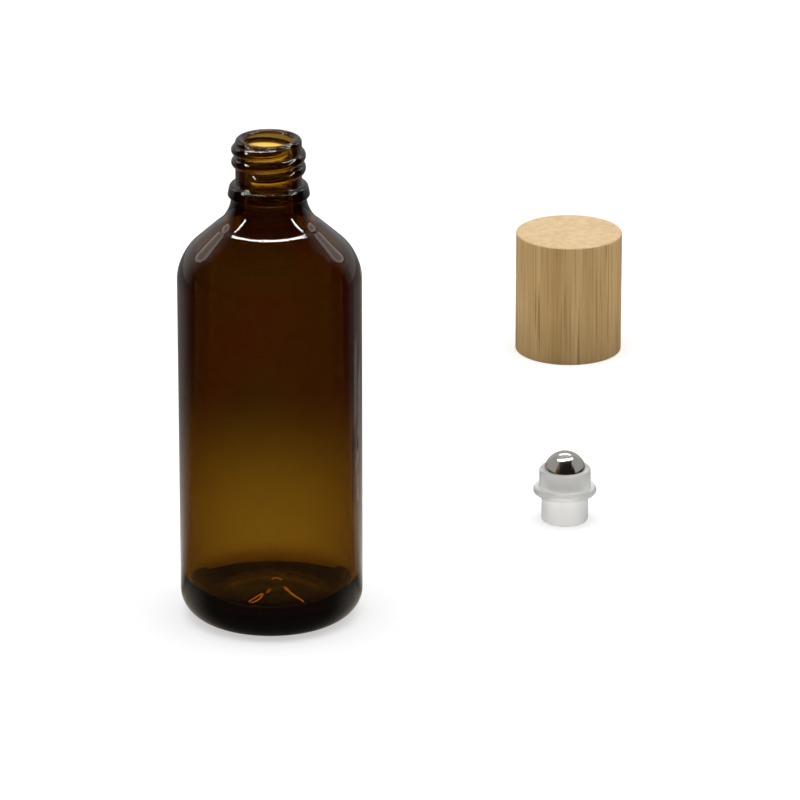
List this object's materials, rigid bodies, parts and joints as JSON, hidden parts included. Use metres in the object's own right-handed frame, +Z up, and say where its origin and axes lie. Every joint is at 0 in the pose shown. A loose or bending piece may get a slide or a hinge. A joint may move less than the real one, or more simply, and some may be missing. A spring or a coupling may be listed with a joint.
{
  "type": "roll on bottle",
  "caption": "Amber glass bottle with a screw neck, its press-in roller ball insert and its bamboo screw cap, both taken off and standing beside it.",
  "frame": {"origin": "centre of the bottle's base, on the surface it stands on", "axes": "+Z up the bottle's axis to its mouth, +X to the side where the insert and the cap stand, -Y the front"},
  "size_m": [0.1128, 0.2247, 0.12],
  "materials": {
    "amber_glass": "gloss",
    "housing_plastic": "translucent satin",
    "ball_steel": "polished",
    "bamboo": "sanded, bare",
    "liner_plastic": "moulded",
    "seal_foam": "matte"
  },
  "bodies": {
    "bottle": {"glass_bottle": "amber_glass"},
    "insert": {"roller_housing": "housing_plastic"},
    "ball": {"roller_ball": "ball_steel"},
    "seal": {"cap_seal": "seal_foam"},
    "cap": {"cap_shell": "bamboo", "cap_liner": "liner_plastic"}
  },
  "joints": [
    {"name": "insert_carry", "type": "slide", "parent": "bottle", "child": "insert", "axis": [-0.4205, -0.3519, 0.8363], "range_m": [0, 0.17219]},
    {"name": "ball_roll", "type": "hinge", "parent": "insert", "child": "ball", "pos_m": [0.0724, 0.0606, 0.0128], "axis": [1, 0, 0], "continuous": true},
    {"name": "cap_carry", "type": "slide", "parent": "bottle", "child": "seal", "axis": [-0.2802, -0.6904, 0.667], "range_m": [0, 0.27303]},
    {"name": "cap_turn", "type": "hinge", "parent": "seal", "child": "cap", "pos_m": [0.0765, 0.1885, 0], "axis": [0, 0, 1], "continuous": true}
  ]
}
